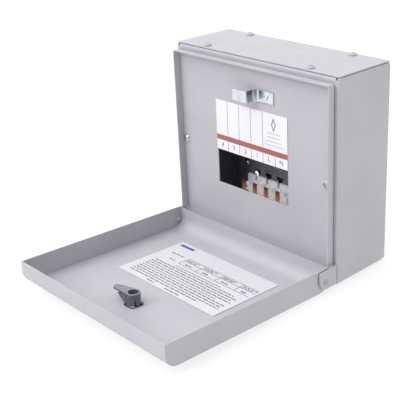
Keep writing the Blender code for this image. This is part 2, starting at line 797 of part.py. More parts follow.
def make_finger(x, shelf, wall):
    """One finger between two prongs, with three wire notches in its nose."""
    front = depth(PRONG_DEPTH - 0.0013)
    throat = depth(0.0310)
    chin = level(0.0566)
    top = level(SHROUD_TOP)
    rear = wall + 0.0004
    foot = shelf - 0.0004
    section = [(rear, foot), (rear, top), (front, top), (front, chin), (throat, chin),
               (throat, foot)]
    half = SHROUD_HALF
    finger = extruded("finger", section, (x - half, x + half), "X")
    notches = [((0.0008, half + 0.001), (SHROUD_TOP - 0.0030, SHROUD_TOP + 0.01), 0.0370),
               ((-half - 0.001, -0.0022), (0.0596, 0.0618), 0.0340),
               ((-0.0006, 0.0026), (0.0573, 0.0590), 0.0340)]
    for (left, right), (low, high), deep in notches:
        cut(finger, block("notch", (x + left, x + right), (depth(0.02), depth(deep)),
                          (level(low), level(high))))
    return bake(finger, "finger")


def make_busbar_support(material):
    """Moulded support in front of the pan: a wall, a shelf and fingers between the prongs."""
    back = depth(PAN_DEPTH) - GAP
    wall = back - 0.0028
    shelf_front = depth(0.0262)
    low = level(0.0460)
    shelf = low + 0.0024
    top = level(PAD_TOP)
    section = [(back, low), (back, top), (wall, top), (wall, shelf), (shelf_front, shelf),
               (shelf_front, low)]
    support = extruded("support", section, (-0.0504, 0.0500), "X")
    for x in way_boundaries()[:4]:
        support = bake(join(support, make_finger(x, shelf, wall)), "support")
    for x in way_boundaries():
        cut(support, block("notch", (x - 0.0017, x + 0.0017), (wall - 0.0005, back + 0.01),
                           (level(PAD_TOP - PAD_NOTCH), level(PAD_TOP + 0.01))))
    return finish(support, "busbar_support", material)


def make_comb_busbar(material):
    """Copper comb busbar with a prong under each way."""
    near = depth(PRONG_DEPTH)
    low = level(0.0488)
    ways = way_boundaries()[:4]
    comb = block("comb", (ways[0] - 0.0130, ways[3] - 0.0050), (near - 0.0016, near),
                 (low, low + 0.0054))
    for x in ways:
        middle = x - WAY_PITCH / 2
        join(comb, block("prong", (middle - PRONG_WIDTH / 2, middle + PRONG_WIDTH / 2),
                         (near - 0.0016, near), (low + 0.0044, level(PRONG_TOP))))
    return finish(comb, "comb_busbar", material)


def make_terminal_bar(name, height, back_clearance, colours, screws):
    """A drilled terminal bar on two supports with its clamping screws."""
    metal, plastic, steel = colours
    z = level(height)
    back = -SHEET - GAP - back_clearance
    bar = block("bar", (-BAR_LENGTH / 2, BAR_LENGTH / 2), (back - 0.0090, back), (z - 0.0040, z + 0.0040))
    rounded(bar, 0.0005, 1)
    for x in screws:
        cut(bar, rod("wire_hole", 0.0022, (x, back - 0.0045, z - 0.01), (x, back - 0.0045, z + 0.01), 12))
        cut(bar, rod("thread", HOLE_RADIUS, (x, back - 0.02, z), (x, back - 0.0045, z), 12))
    finish(bar, name + "_bar", metal)
    for side, x in zip(("left", "right"), bar_foot_places()):
        foot = block("foot", (x - 0.0045, x + 0.0045), (back + GAP, -SHEET - GAP),
                     (z - 0.0055, z + 0.0055))
        finish(rounded(foot, 0.0008, 1), f"{name}_support_{side}", plastic)
    pattern = screw_pattern(name + "_screw", 0.0030, 0.0018, 0.0018, 0.0040, steel, cross=False)
    spots = [(f"{name}_screw_{number}", (0, -1, 0), (x, back - 0.0090 - GAP, z))
             for number, x in enumerate(screws, 1)]
    scatter(pattern, spots)


def main():
    """Build every piece of the enclosure."""
    grey = paint("grey_paint", (0.58, 0.58, 0.60), 0.45, 0.0)
    zinc = paint("bright_zinc", (0.75, 0.77, 0.80), 0.28, 1.0)
    slate = paint("slate_plastic", (0.16, 0.17, 0.20), 0.50, 0.0)
    white = paint("label_white", (0.86, 0.86, 0.88), 0.60, 0.0)
    galvanised = paint("galvanised_pan", (0.30, 0.30, 0.31), 0.50, 1.0)
    moulding = paint("light_grey_moulding", (0.55, 0.55, 0.57), 0.50, 0.0)
    copper = paint("copper", (0.72, 0.36, 0.20), 0.35, 1.0)
    brass = paint("brass", (0.78, 0.62, 0.30), 0.35, 1.0)

    make_body(grey)
    make_gland_plates(grey)
    make_plate_screws(zinc)
    make_cover(grey)
    make_cover_screws(zinc)
    make_cover_nuts(zinc)
    make_circuit_label(white)
    make_keeper(zinc)
    make_keeper_rivet(zinc)
    make_hinge_rivets(zinc)

    hinge = make_axis("door_hinge_axis", (0.0, *hinge_axis()), (DOOR_TILT, 0.0, 0.0))
    latch = make_axis("latch_axis", (LATCH_X, -LATCH_REACH, 0.0), (0.0, 0.0, LATCH_TURN), hinge)
    make_door(grey, hinge)
    make_door_label(white, hinge)
    make_latch_housing(slate, hinge)
    make_latch_cam(slate, latch)
    make_latch_core(slate, latch)

    make_pan(galvanised)
    make_pan_screws(zinc)
    make_bond_screw(zinc)
    make_busbar_support(moulding)
    make_comb_busbar(copper)
    places = [BAR_PITCH * step - 0.027 for step in range(4)]
    make_terminal_bar("neutral", NEUTRAL_LEVEL, 0.0140, (brass, moulding, zinc), places)
    make_terminal_bar("earth", EARTH_LEVEL, 0.0140, (brass, moulding, zinc), places)


clear_scene()
parts = make_collection(COLLECTION_NAME)
workshop = make_collection("cutters")
main()
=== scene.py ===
"""Looks of the subpanel enclosure: finishes, printed labels, soft studio and camera."""
import json
import math
import bpy
from mathutils import Matrix, Vector


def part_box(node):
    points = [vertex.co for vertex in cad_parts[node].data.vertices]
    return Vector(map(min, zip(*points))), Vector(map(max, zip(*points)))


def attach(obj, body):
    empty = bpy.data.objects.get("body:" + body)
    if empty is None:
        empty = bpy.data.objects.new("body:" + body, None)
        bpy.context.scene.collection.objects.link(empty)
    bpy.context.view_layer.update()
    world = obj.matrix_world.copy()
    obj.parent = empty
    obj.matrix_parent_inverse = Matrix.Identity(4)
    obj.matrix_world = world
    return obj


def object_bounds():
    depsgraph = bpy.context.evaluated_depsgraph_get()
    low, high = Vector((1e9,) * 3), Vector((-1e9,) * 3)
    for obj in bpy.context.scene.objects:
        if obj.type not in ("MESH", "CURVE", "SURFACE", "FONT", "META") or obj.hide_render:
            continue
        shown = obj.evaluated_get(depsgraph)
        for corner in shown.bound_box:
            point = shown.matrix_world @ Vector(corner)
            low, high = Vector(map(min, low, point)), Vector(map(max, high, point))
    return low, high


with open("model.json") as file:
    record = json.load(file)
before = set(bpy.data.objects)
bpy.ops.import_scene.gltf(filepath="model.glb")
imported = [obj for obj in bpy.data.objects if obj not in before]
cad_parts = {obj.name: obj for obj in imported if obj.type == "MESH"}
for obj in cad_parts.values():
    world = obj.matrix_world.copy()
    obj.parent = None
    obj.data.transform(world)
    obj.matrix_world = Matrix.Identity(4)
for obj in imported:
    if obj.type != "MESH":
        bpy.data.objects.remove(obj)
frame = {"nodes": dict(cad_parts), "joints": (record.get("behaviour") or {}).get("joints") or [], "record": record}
cad_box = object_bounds()

MM = 0.001
NODES = frame["nodes"]
JOINTS = {joint["name"]: joint for joint in frame["joints"]}
HINGE = Vector(JOINTS["door_hinge"]["pos_m"])
LATCH_AXIS = Vector(JOINTS["latch_turn"]["axis"])
DOOR_TILT = -math.atan2(LATCH_AXIS.y, LATCH_AXIS.z)

# Edges: those flatter than SMOOTH_ANGLE are shaded smooth, those sharper than ROUND_ANGLE are
# rounded by their node's width. Angles are in degrees and widths in metres.
WELD_DISTANCE = 0.000002
FLAT_ANGLE = 0.5
SMOOTH_ANGLE = 32
ROUND_ANGLE = 35
EDGE_WIDTHS = {
    "enclosure_body": 0.00025, "front_cover": 0.00025, "door_panel": 0.0003,
    "top_gland_plate": 0.0003, "bottom_gland_plate": 0.0003, "latch_keeper": 0.0002,
    "latch_cam": 0.0004, "latch_core": 0.0002, "latch_housing": 0.0002,
    "chassis_pan": 0.0002, "busbar_support": 0.0003, "comb_busbar": 0.0002,
}

# Nodes whose finish differs from the plain one of their slot.
SPECIAL = {"latch_keeper": "bright_zinc_strip", "door_label": "label_dull",
           "cover_screw_right": "dull_zinc"}

# The keeper's fold: where it starts and ends, in metres along X + Y from the strip's back, and
# its bands of painted shade and dark reflection as (place from 0 to 1, darkness).
FOLD_START = -0.010
FOLD_END = 0.016
FOLD_SHADE_BANDS = [(0.10, 0.0), (0.17, 0.95), (0.44, 1.0), (0.50, 0.35), (0.56, 0.30), (0.62, 0.85),
              (0.72, 0.75), (0.80, 0.0)]

# Height of the ink and clearance under it, in metres.
INK_HEIGHT = 0.00004
INK_GAP = 0.00001

# Printed artwork, in millimetres on its label.
WAY_MARKS = ("4", "3", "2", "1", "L", "N")
MARK_SIZE = 7.4
MARK_LEVEL = 6.2
RULE_WIDTH = 0.7
RULE_END = 0.3
BAND_LOW = 11.7
BAND_HIGH = 17.7
DIAMOND_CENTRE = (88.3, 46.2)
DIAMOND_OUTER = (3.2, 8.0)
DIAMOND_INNER = (2.0, 5.4)
NOTE_LINES = ((9.5, 35.6), (9.0, 31.2), (11.0, 26.6), (13.0, 22.2))
NOTE_HEIGHT = 1.3
TABLE_TOP = -51.5
TABLE_FOOT = -67.5
TABLE_LEFT = -37.0
TABLE_RIGHT = 74.0
TABLE_RULE = 0.6
TABLE_DIVISIONS = (TABLE_LEFT, -9.0, 21.0, 51.0)
TABLE_COLUMNS = (-34.5, -6.5, 23.5, 53.5)
TEXT_TOP = -73.6
TEXT_PITCH = 4.2
TEXT_HEIGHT = 1.35
TEXT_ROWS = [(-35, 40), (-64, 62), (-66, 70), (-66, 66), (-66, 70), (-66, 52), (-66, 70),
             (-66, 68), (-66, 70), (-66, 44)]
# Other lines of words, as (start, stop, level, height, seed).
SIDE_LINES = ((-64.0, -42.0, -53.5, 1.4, 1), (-54.0, -45.0, -65.5, 1.4, 3))
FOOT_LINES = ((-32.0, -20.0, -116.0, 1.4, 2), (-3.0, 20.0, -116.5, 1.4, 4))
WORD_LENGTH = 2.6
WORD_STEP = 1.5
WORD_GAP = 1.25
WORD_LEAST = 2.0
CORNER_BAR = (-71.5, -35.0, 22.0, 4.2)
# Door label's face from the hinge axis, in metres: tray underside, sheet, gap, film, clearance.
DOOR_LABEL_TOP = -0.0108 + 0.0012 + 0.0003 + 0.0003 + INK_GAP

# Hinge rivets: a black plug in each centre hole, painted shade for its dark hollow.
HOLE_SHADE_RADIUS = 0.88 * MM
HOLE_SHADE_DEPTHS = (1.5 * MM, 1.1 * MM)
HOLE_SHADE_SIDES = 16

# Studio: the sky turns from front to back between two values of its direction's dot product
# with SKY_AXIS. Each sun has a name, the direction it shines from, a strength and an angle.
FLOOR_REACH = 12.0
FLOOR_DROP = 0.0002
FLOOR_GLOW = 0.70
SKY_AXIS = (-0.42, 0.60, 0.681)
SKY_FRONT = 0.30
SKY_BACK = 1.02
SKY_TURN = (-0.55, 0.75)
SKY_FRONT_HUE = (1.0, 0.945, 1.0, 1.0)
SKY_BACK_HUE = (1.0, 1.0, 1.0, 1.0)
SUNS = [
    ("overhead", (-0.15, -0.45, 0.88), 1.34, 60.0),
    ("front_fill", (-0.26, -0.80, 0.54), 0.72, 25.0),
]

# Camera: place in metres, turn in degrees, lens in millimetres, shift in picture widths.
CAMERA_PLACE = (0.64096, -0.71215, 0.34056)
CAMERA_TURN = (68.118, 1.628, 45.286)
CAMERA_LENS = 79.053
CAMERA_SHIFT = (-0.12, -0.06)


# ---- Node helpers -----------------------------------------------------------------------
class Tree:
    """Small helper that adds and links shader nodes."""

    def __init__(self, name):
        self.material = bpy.data.materials.new(name)
        self.material.use_nodes = True
        self.tree = self.material.node_tree
        self.shader = self.tree.nodes["Principled BSDF"]
        self.coords = self.add("ShaderNodeTexCoord").outputs["Object"]

    def add(self, kind, **settings):
        node = self.tree.nodes.new(kind)
        for key, value in settings.items():
            setattr(node, key, value)
        return node

    def link(self, source, target):
        self.tree.links.new(source, target)

    def stretched(self, scale):
        """Object coordinates scaled along each axis."""
        node = self.add("ShaderNodeMapping")
        node.inputs["Scale"].default_value = scale
        self.link(self.coords, node.inputs["Vector"])
        return node.outputs["Vector"]

    def noise(self, scale, detail=3.0, roughness=0.5, vector=None):
        """Noise in the object's own coordinates."""
        node = self.add("ShaderNodeTexNoise")
        node.inputs["Scale"].default_value = scale
        node.inputs["Detail"].default_value = detail
        node.inputs["Roughness"].default_value = roughness
        self.link(vector or self.coords, node.inputs["Vector"])
        return node.outputs["Fac"]

    def cells(self, scale):
        """A random colour for each cell."""
        node = self.add("ShaderNodeTexVoronoi")
        node.inputs["Scale"].default_value = scale
        self.link(self.coords, node.inputs["Vector"])
        return node.outputs["Color"]

    def spread(self, source, low, high, start=0.3, stop=0.7):
        """A value mapped from one range to another."""
        node = self.add("ShaderNodeMapRange")
        node.inputs["From Min"].default_value = start
        node.inputs["From Max"].default_value = stop
        node.inputs["To Min"].default_value = low
        node.inputs["To Max"].default_value = high
        self.link(source, node.inputs["Value"])
        return node.outputs["Result"]

    def tint(self, factor, first, second):
        """A colour between two, by a factor from 0 to 1."""
        node = self.add("ShaderNodeMix", data_type="RGBA")
        node.inputs["A"].default_value = (*first, 1.0)
        node.inputs["B"].default_value = (*second, 1.0)
        self.link(factor, node.inputs["Factor"])
        return node.outputs["Result"]

    def blend(self, factor, first, second):
        """Two colour outputs blended by a factor output."""
        node = self.add("ShaderNodeMix", data_type="RGBA")
        self.link(first, node.inputs["A"])
        self.link(second, node.inputs["B"])
        self.link(factor, node.inputs["Factor"])
        return node.outputs["Result"]

    def bump(self, height, distance, strength=1.0, under=None):
        """A normal raised by a height, on top of another normal if there is one."""
        node = self.add("ShaderNodeBump")
        node.inputs["Distance"].default_value = distance
        node.inputs["Strength"].default_value = strength
        self.link(height, node.inputs["Height"])
        if under is not None:
            self.link(under, node.inputs["Normal"])
        return node.outputs["Normal"]

    def glow(self, colour, strength):
        """Painted light: a little of the colour given off, which lifts pieces deep inside the box."""
        self.link(colour, self.shader.inputs["Emission Color"])
        self.shader.inputs["Emission Strength"].default_value = strength

    def finish(self, colour, roughness, normal=None, metallic=None):
        """Connect the outputs, or set the plain numbers, on the shader."""
        for name, value in (("Base Color", colour), ("Roughness", roughness),
                            ("Normal", normal), ("Metallic", metallic)):
            if value is None:
                continue
            if isinstance(value, (int, float)):
                self.shader.inputs[name].default_value = value
            else:
                self.link(value, self.shader.inputs[name])
        return self.material


def linear(red, green, blue):
    """Linear colour from 8-bit display values."""
    def one(value):
        value /= 255
        return value / 12.92 if value <= 0.04045 else ((value + 0.055) / 1.055) ** 2.4
    return one(red), one(green), one(blue)


# ---- Materials --------------------------------------------------------------------------
def powder_coat():
    """Pale grey powder coat: fine orange peel, faint mottle and handling scuffs."""
    t = Tree("powder_coat_grey")
    mottle = t.spread(t.noise(14.0, 4.0), 0.0, 1.0, 0.35, 0.65)
    colour = t.tint(mottle, linear(184, 183, 189), linear(190, 189, 194))
    speck = t.spread(t.noise(2600.0, 2.0), 0.0, 0.35, 0.62, 0.75)
    colour = t.blend(speck, colour, t.tint(speck, linear(168, 167, 173), linear(166, 165, 171)))
    scuff = t.spread(t.noise(38.0, 5.0, 0.65), 0.0, 0.22, 0.60, 0.72)
    pale = t.tint(mottle, linear(196, 196, 200), linear(200, 200, 204))
    colour = t.blend(scuff, colour, pale)
    rough = t.spread(t.noise(60.0, 3.0), 0.38, 0.48)
    peel = t.bump(t.noise(1500.0, 2.0, 0.55), 0.000035)
    peel = t.bump(t.noise(320.0, 2.0), 0.00005, 0.7, peel)
    return t.finish(colour, rough, peel)


def label_film(name, low, high):
    """White printed film: faint fibres and a soft sheen."""
    t = Tree(name)
    grain = t.spread(t.noise(900.0, 4.0), 0.0, 1.0)
    colour = t.tint(grain, linear(low, low, low + 5), linear(high, high, high + 4))
    rough = t.spread(t.noise(120.0), 0.45, 0.6)
    return t.finish(colour, rough, t.bump(t.noise(700.0, 3.0), 0.00002))


def ink(name, first, second):
    """Printed ink with slightly uneven cover."""
    t = Tree(name)
    cover = t.spread(t.noise(2200.0, 3.0), 0.0, 1.0)
    return t.finish(t.tint(cover, first, second), t.spread(t.noise(300.0), 0.45, 0.6))


def plated(name, first, second, low, high, scale, direction, metal=1.0):
    """Plated or drawn metal with fine lines along one direction."""
    t = Tree(name)
    lines = t.noise(scale, 4.0, 0.6, t.stretched(direction))
    cloud = t.noise(90.0, 3.0)
    colour = t.tint(t.spread(cloud, 0.0, 1.0), first, second)
    rough = t.spread(lines, low, high)
    normal = t.bump(lines, 0.000006, 0.5)
    return t.finish(colour, rough, normal, metal)


def zinc_with_painted_fold_shade():
    """Bright zinc strip whose fold is painted dark blue grey, as shade and dark reflection."""
    t = Tree("bright_zinc_strip")
    lines = t.noise(900.0, 4.0, 0.6, t.stretched((1.0, 1.0, 0.12)))
    cloud = t.spread(t.noise(90.0, 3.0), 0.0, 1.0)
    bright = t.tint(cloud, linear(196, 201, 207), linear(222, 226, 230))
    low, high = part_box("latch_keeper")
    place = t.add("ShaderNodeSeparateXYZ")
    t.link(t.coords, place.inputs["Vector"])
    along = t.add("ShaderNodeMath", operation="ADD")
    t.link(place.outputs["X"], along.inputs[0])
    t.link(place.outputs["Y"], along.inputs[1])
    # Painted shade and dark reflection, laid in bands along the fold.
    reach = t.spread(along.outputs["Value"], 0.0, 1.0, FOLD_START + high.y, FOLD_END + high.y)
    bands = t.add("ShaderNodeValToRGB")
    ramp = bands.color_ramp
    ramp.elements[0].position = 0.0
    ramp.elements[0].color = (0.0, 0.0, 0.0, 1.0)
    ramp.elements[1].position = 1.0
    ramp.elements[1].color = (0.0, 0.0, 0.0, 1.0)
    for position, shade in FOLD_SHADE_BANDS:
        step = ramp.elements.new(position)
        step.color = (shade, shade, shade, 1.0)
    t.link(reach, bands.inputs["Fac"])
    # The painted shade on the fold grows towards the strip's top.
    rise = t.spread(place.outputs["Z"], 0.25, 1.0, low.z, low.z + 0.7 * (high.z - low.z))
    fold = t.add("ShaderNodeMath", operation="MULTIPLY")
    t.link(bands.outputs["Color"], fold.inputs[0])
    t.link(rise, fold.inputs[1])
    dark = t.tint(cloud, linear(62, 67, 78), linear(78, 84, 96))
    colour = t.blend(fold.outputs["Value"], bright, dark)
    normal = t.bump(lines, 0.000006, 0.5)
    metal = t.spread(fold.outputs["Value"], 1.0, 0.35, 0.0, 1.0)
    return t.finish(colour, t.spread(lines, 0.14, 0.24), normal, metal)


def copper_with_painted_reflection():
    """Bright copper strip with a painted dark red-brown reflection towards the prong tips, and a little painted
    glow.
    """
    t = Tree("copper_strip")
    lines = t.noise(700.0, 4.0, 0.6, t.stretched((1.0, 0.12, 1.0)))
    cloud = t.spread(t.noise(90.0, 3.0), 0.0, 1.0)
    bright = t.tint(cloud, linear(214, 132, 96), linear(236, 164, 132))
    dark = t.tint(cloud, linear(112, 62, 54), linear(132, 76, 64))
    low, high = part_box("comb_busbar")
    place = t.add("ShaderNodeSeparateXYZ")
    t.link(t.coords, place.inputs["Vector"])
    rise = high.z - low.z
    # Painted reflection: the prongs darken towards their tips, as the dark inside of the box shows in them.
    painted_tip_reflection = t.spread(place.outputs["Z"], 0.0, 0.9, low.z + 0.42 * rise, low.z + 0.90 * rise)
    colour = t.blend(painted_tip_reflection, bright, dark)
    # Painted light: the copper glows a little.
    t.glow(colour, 0.16)
    return t.finish(colour, t.spread(lines, 0.22, 0.42), t.bump(lines, 0.000006, 0.5), 0.45)


def galvanised():
    """Dull galvanised sheet with spangles."""
    t = Tree("galvanised_sheet")
    spangle = t.cells(320.0)
    shade = t.add("ShaderNodeSeparateColor")
    t.link(spangle, shade.inputs["Color"])
    value = shade.outputs["Red"]
    colour = t.tint(value, linear(126, 125, 131), linear(156, 155, 162))
    return t.finish(colour, t.spread(value, 0.42, 0.6, 0.0, 1.0),
                    t.bump(t.noise(500.0, 3.0), 0.00003), 0.55)


def moulded(name, first, second, low=0.42, high=0.58, painted_sheen=0.0, glow=0.0):
    """Moulded plastic with a fine spark-eroded grain, upper faces that can be painted lighter as a sheen of light
    from above, and an optional painted glow.
    """
    t = Tree(name)
    cloud = t.spread(t.noise(110.0, 3.0), 0.0, 1.0)
    colour = t.tint(cloud, first, second)
    if painted_sheen:
        # Painted highlight: faces turned up take a lighter colour, as a sheen of light from above.
        facing_up = t.add("ShaderNodeSeparateXYZ")
        t.link(t.add("ShaderNodeTexCoord").outputs["Normal"], facing_up.inputs["Vector"])
        painted_sheen_mask = t.spread(facing_up.outputs["Z"], 0.0, painted_sheen, 0.75, 1.0)
        # The lighter colour of the painted sheen on upper faces.
        powder = t.tint(cloud, linear(176, 177, 186), linear(186, 187, 196))
        colour = t.blend(painted_sheen_mask, colour, powder)
    # Painted light: the moulding can glow a little.
    if glow:
        t.glow(colour, glow)
    normal = t.bump(t.noise(1800.0, 2.0), 0.00004)
    return t.finish(colour, t.spread(t.noise(400.0), low, high), normal)


def make_materials():
    """The finishes, by the record's slot names."""
    return {
        "grey_paint": powder_coat(),
        "label_white": label_film("label_film", 236, 243),
        "bright_zinc": plated("bright_zinc_plate", linear(196, 201, 207), linear(222, 226, 230),
                              0.14, 0.24, 900.0, (1.0, 1.0, 0.12)),
        "bright_zinc_strip": zinc_with_painted_fold_shade(),
        # Painted highlight on the upper faces of this plastic.
        "slate_plastic": moulded("slate_plastic", linear(88, 93, 104), linear(100, 105, 117),
                                 0.20, 0.32, painted_sheen=0.30),
        "galvanised_steel": galvanised(),
        # Painted light: the moulding deep inside the box glows a little.
        "grey_moulding": moulded("grey_moulding", linear(212, 212, 217), linear(224, 224, 229),
                                 glow=0.21),
        "copper": copper_with_painted_reflection(),
        "brass": plated("brass_bar", linear(198, 168, 98), linear(216, 188, 122),
                        0.2, 0.4, 800.0, (0.1, 1.0, 1.0)),
        "label_dull": label_film("label_film_dull", 213, 222),
        "dull_zinc": plated("dull_zinc", linear(186, 187, 193), linear(196, 197, 203),
                            0.40, 0.50, 900.0, (1.0, 1.0, 0.12), 0.15),
        "ink_grey": ink("ink_grey", linear(132, 130, 140), linear(152, 150, 160)),
        "ink_dark": ink("ink_dark", linear(66, 66, 76), linear(92, 92, 102)),
        "ink_brown": ink("ink_brown", linear(84, 62, 66), linear(104, 80, 82)),
        "ink_faint": ink("ink_faint", linear(200, 198, 208), linear(214, 212, 220)),
        "ink_brick": ink("ink_brick", linear(164, 92, 84), linear(178, 106, 98)),
        "ink_blue": ink("ink_blue", linear(58, 84, 150), linear(76, 102, 166)),
        "hole_shade_black": ink("hole_shade_black", linear(24, 22, 26), linear(40, 38, 42)),
    }


# ---- Modifiers on the CAD nodes -----------------------------------------------------------
def smoothing_group():
    """Geometry nodes that shade smooth across edges flatter than SMOOTH_ANGLE."""
    group = bpy.data.node_groups.new("smooth_by_angle", "GeometryNodeTree")
    group.interface.new_socket("Geometry", in_out="INPUT", socket_type="NodeSocketGeometry")
    group.interface.new_socket("Geometry", in_out="OUTPUT", socket_type="NodeSocketGeometry")
    source = group.nodes.new("NodeGroupInput")
    target = group.nodes.new("NodeGroupOutput")
    faces = group.nodes.new("GeometryNodeSetShadeSmooth")
    faces.domain = "FACE"
    edges = group.nodes.new("GeometryNodeSetShadeSmooth")
    edges.domain = "EDGE"
    angle = group.nodes.new("GeometryNodeInputMeshEdgeAngle")
    compare = group.nodes.new("FunctionNodeCompare")
    compare.data_type = "FLOAT"
    compare.operation = "LESS_THAN"
    compare.inputs["B"].default_value = math.radians(SMOOTH_ANGLE)
    group.links.new(source.outputs[0], faces.inputs["Geometry"])
    group.links.new(faces.outputs["Geometry"], edges.inputs["Geometry"])
    group.links.new(angle.outputs["Unsigned Angle"], compare.inputs["A"])
    group.links.new(compare.outputs["Result"], edges.inputs["Shade Smooth"])
    group.links.new(edges.outputs["Geometry"], target.inputs[0])
    return group


def refine(node, group, width):
    """Weld a CAD node, round its sharp edges and shade it smooth."""
    weld = node.modifiers.new("Weld", "WELD")
    weld.merge_threshold = WELD_DISTANCE
    planar = node.modifiers.new("Planar", "DECIMATE")
    planar.decimate_type = "DISSOLVE"
    planar.angle_limit = math.radians(FLAT_ANGLE)
    smooth = node.modifiers.new("Smooth", "NODES")
    smooth.node_group = group
    if width:
        bevel = node.modifiers.new("Bevel", "BEVEL")
        bevel.width = width
        bevel.segments = 2
        bevel.limit_method = "ANGLE"
        bevel.angle_limit = math.radians(ROUND_ANGLE)
        bevel.use_clamp_overlap = True
        bevel.harden_normals = True
    level = node.modifiers.new("Normals", "WEIGHTED_NORMAL")
    level.keep_sharp = True
    level.weight = 90


def dress_nodes(materials):
    """Give every CAD node its finish and soft edges."""
    group = smoothing_group()
    slots = {row["node"]: row["material_slot"] for row in frame["record"]["subparts"]}
    for name, node in NODES.items():
        node.data.materials.clear()
        node.data.materials.append(materials[SPECIAL.get(name, slots[name])])
        refine(node, group, EDGE_WIDTHS.get(name, 0.0))


# ---- Printed artwork ---------------------------------------------------------------------
def add_piece(name, mesh, material, body):
    """A new piece of one material that rides on a body."""
    mesh.materials.clear()
    mesh.materials.append(material)
    piece = bpy.data.objects.new(name, mesh)
    bpy.context.scene.collection.objects.link(piece)
    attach(piece, body)


class Print:
    """Thin raised ink on a label: shapes in the label's own plane, in millimetres."""

    def __init__(self, matrix, body, slot):
        self.matrix = matrix
        self.body = body
        self.slot = slot

    def shapes(self, name, outlines, material):
        """One piece of closed flat outlines, each extruded by the ink's height."""
        verts = []
        faces = []
        for outline in outlines:
            base = len(verts)
            count = len(outline)
            for height in (0.0, INK_HEIGHT):
                verts += [self.matrix @ Vector((u * MM, v * MM, height)) for u, v in outline]
            faces.append([base + i for i in range(count)][::-1])
            faces.append([base + count + i for i in range(count)])
            for i in range(count):
                j = (i + 1) % count
                faces.append([base + i, base + j, base + count + j, base + count + i])
        mesh = bpy.data.meshes.new(name)
        mesh.from_pydata(verts, [], faces)
        add_piece(name, mesh, material, self.body)

    def text(self, name, mark, place, size, material):
        """A generic numeral or letter."""
        curve = bpy.data.curves.new(name, "FONT")
        curve.body = mark
        curve.size = size * MM
        curve.align_x = "CENTER"
        curve.align_y = "CENTER"
        curve.extrude = INK_HEIGHT / 2
        holder = bpy.data.objects.new(name + "_curve", curve)
        bpy.context.scene.collection.objects.link(holder)
        mesh = bpy.data.meshes.new_from_object(holder)
        bpy.data.objects.remove(holder)
        spot = Matrix.Translation((place[0] * MM, place[1] * MM, INK_HEIGHT / 2))
        mesh.transform(self.matrix @ spot)
        add_piece(name, mesh, material, self.body)


def bar(u, v, width, height):
    """A rectangle from its lower left corner."""
    return [(u, v), (u + width, v), (u + width, v + height), (u, v + height)]


def diamond(half_width, half_height):
    """The four corners of a diamond on the circuit label."""
    u, v = DIAMOND_CENTRE
    return [(u, v - half_height), (u + half_width, v), (u, v + half_height), (u - half_width, v)]


def print_circuit_label(materials):
    """Way columns, a brick-red band, way marks and a plain diamond on the label."""
    low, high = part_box("circuit_label")
    width = (high.x - low.x) / MM
    height = (high.z - low.z) / MM
    pitch = width / len(WAY_MARKS)
    half = RULE_WIDTH / 2
    matrix = Matrix(((1, 0, 0, low.x), (0, 0, -1, low.y - INK_GAP), (0, 1, 0, low.z),
                     (0, 0, 0, 1)))
    page = Print(matrix, "enclosure", "label_white")
    lines = []
    for way in range(1, 5):
        lines.append(bar(way * pitch - half, RULE_END, RULE_WIDTH, BAND_LOW - RULE_END))
        lines.append(bar(way * pitch - half, BAND_HIGH, RULE_WIDTH,
                         height - BAND_HIGH - RULE_END))
    lines.append(bar(5 * pitch - half, RULE_END, RULE_WIDTH, BAND_LOW - RULE_END))
    page.shapes("circuit_label_lines", lines, materials["ink_grey"])
    page.shapes("circuit_label_band", [bar(0, BAND_LOW, width, BAND_HIGH - BAND_LOW)],
                materials["ink_brick"])
    for way, mark in enumerate(WAY_MARKS):
        page.text(f"circuit_label_mark_{way + 1}", mark, ((way + 0.5) * pitch, MARK_LEVEL),
                  MARK_SIZE, materials["ink_dark"])
    outer = diamond(*DIAMOND_OUTER)
    inner = diamond(*DIAMOND_INNER)
    quads = [[outer[i], outer[(i + 1) % 4], inner[(i + 1) % 4], inner[i]] for i in range(4)]
    page.shapes("circuit_label_diamond", quads, materials["ink_brown"])
    notes = [bar(DIAMOND_CENTRE[0] - reach, level, 2 * reach, NOTE_HEIGHT)
             for reach, level in NOTE_LINES]
    page.shapes("circuit_label_notes", notes, materials["ink_faint"])


def door_matrix(height):
    """Frame of the door's inner face: U right, V away from the hinge, W up off the face."""
    turn = Matrix.Rotation(DOOR_TILT, 4, "X")
    return Matrix.Translation(HINGE) @ turn @ Matrix.Translation((0, 0, height))


def words(start, stop, level, height, seed):
    """Bars of uneven length that stand for the words of one line."""
    bars = []
    x = start
    step = 0
    while x < stop - WORD_LEAST:
        length = WORD_LENGTH + WORD_STEP * ((seed * 7 + step * 5) % 5)
        bars.append(bar(x, level, min(length, stop - x), height))
        x += length + WORD_GAP
        step += 1
    return bars


def print_door_label(materials):
    """A ruled table, grey bars where notes would be and a plain blue bar in the corner."""
    page = Print(door_matrix(DOOR_LABEL_TOP), "door", "label_white")
    top, foot = TABLE_TOP, TABLE_FOOT
    middle = (top + foot) / 2 + 1.0
    rules = [bar(TABLE_LEFT, level, TABLE_RIGHT - TABLE_LEFT, TABLE_RULE)
             for level in (top, middle, foot)]
    rules += [bar(x, foot, RULE_WIDTH, top - foot) for x in TABLE_DIVISIONS]
    page.shapes("door_label_table", rules, materials["ink_dark"])
    entries = [outline for line in SIDE_LINES for outline in words(*line)]
    for number, x in enumerate(TABLE_COLUMNS):
        entries += words(x, x + 18.0 + 3.0 * (number % 2), top - 3.0, 1.3, number)
        entries += words(x, x + 15.0, top - 5.4, 1.2, number + 2)
        entries += words(x + 5.0, x + 15.0, foot + 3.0, 1.8, number + 1)
    page.shapes("door_label_words", entries, materials["ink_dark"])
    text = []
    for row, (start, stop) in enumerate(TEXT_ROWS):
        text += words(start, stop, TEXT_TOP - row * TEXT_PITCH, TEXT_HEIGHT, row)
    text += [outline for line in FOOT_LINES for outline in words(*line)]
    page.shapes("door_label_text", text, materials["ink_dark"])
    page.shapes("door_label_mark", [bar(*CORNER_BAR)], materials["ink_blue"])


